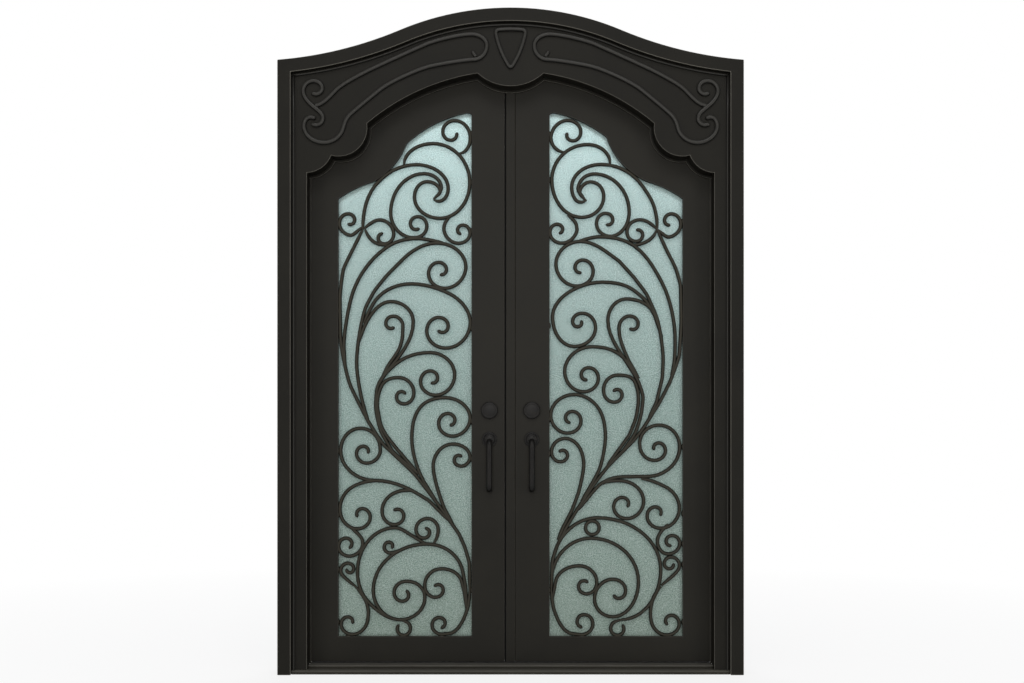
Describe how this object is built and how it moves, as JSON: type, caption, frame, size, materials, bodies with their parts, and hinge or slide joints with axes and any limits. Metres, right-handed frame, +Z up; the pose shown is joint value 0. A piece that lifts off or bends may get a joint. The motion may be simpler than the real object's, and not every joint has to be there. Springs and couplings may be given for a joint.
{
  "type": "wrought iron double door",
  "caption": "Pair of arched wrought iron entrance doors with scroll grilles over obscured glass, hung in a moulded iron frame with a swan-neck head.",
  "frame": {"origin": "middle of the sill plate's underside, at mid-depth of the frame", "axes": "+X to the right seen from the street, +Y into the building, +Z up"},
  "size_m": [1.88, 0.22, 2.69],
  "materials": {
    "iron_paint": "satin dark bronze-black paint",
    "hinge_metal": "satin dark paint",
    "fitting_metal": "oil-rubbed dark bronze",
    "obscured_glass": "rain-textured obscured glass",
    "seal": "black pile seal"
  },
  "bodies": {
    "frame": {"left_jamb": "iron_paint", "right_jamb": "iron_paint", "head_arch": "iron_paint", "header_panel": "iron_paint", "left_casing": "iron_paint", "right_casing": "iron_paint", "head_casing": "iron_paint", "left_bead": "iron_paint", "right_bead": "iron_paint", "head_bead": "iron_paint", "left_stop": "iron_paint", "right_stop": "iron_paint", "head_stop": "iron_paint", "threshold": "iron_paint", "sill_nose": "iron_paint", "left_header_scroll": "iron_paint", "right_header_scroll": "iron_paint", "keystone_bead": "iron_paint", "left_frame_hinges": "hinge_metal", "right_frame_hinges": "hinge_metal"},
    "left_leaf": {"left_hinge_stile": "iron_paint", "left_lock_stile": "iron_paint", "left_top_rail": "iron_paint", "left_bottom_rail": "iron_paint", "left_glass": "obscured_glass", "left_glazing_frame": "iron_paint", "left_grille": "iron_paint", "left_deadbolt": "fitting_metal", "left_pull_rosettes": "fitting_metal", "left_pull_grips": "fitting_metal", "left_leaf_hinges": "hinge_metal"},
    "right_leaf": {"right_hinge_stile": "iron_paint", "right_lock_stile": "iron_paint", "right_top_rail": "iron_paint", "right_bottom_rail": "iron_paint", "right_glass": "obscured_glass", "right_glazing_frame": "iron_paint", "right_grille": "iron_paint", "right_deadbolt": "fitting_metal", "right_pull_rosettes": "fitting_metal", "right_pull_grips": "fitting_metal", "right_leaf_hinges": "hinge_metal", "astragal": "iron_paint", "meeting_seal": "seal"}
  },
  "joints": [
    {"name": "left_leaf_swing", "type": "hinge", "parent": "frame", "child": "left_leaf", "pos_m": [-0.843, 0.093, 1.2], "axis": [0, 0, 1], "range_deg": [0, 110]},
    {"name": "right_leaf_swing", "type": "hinge", "parent": "frame", "child": "right_leaf", "pos_m": [0.843, 0.093, 1.2], "axis": [0, 0, -1], "range_deg": [0, 110]}
  ]
}
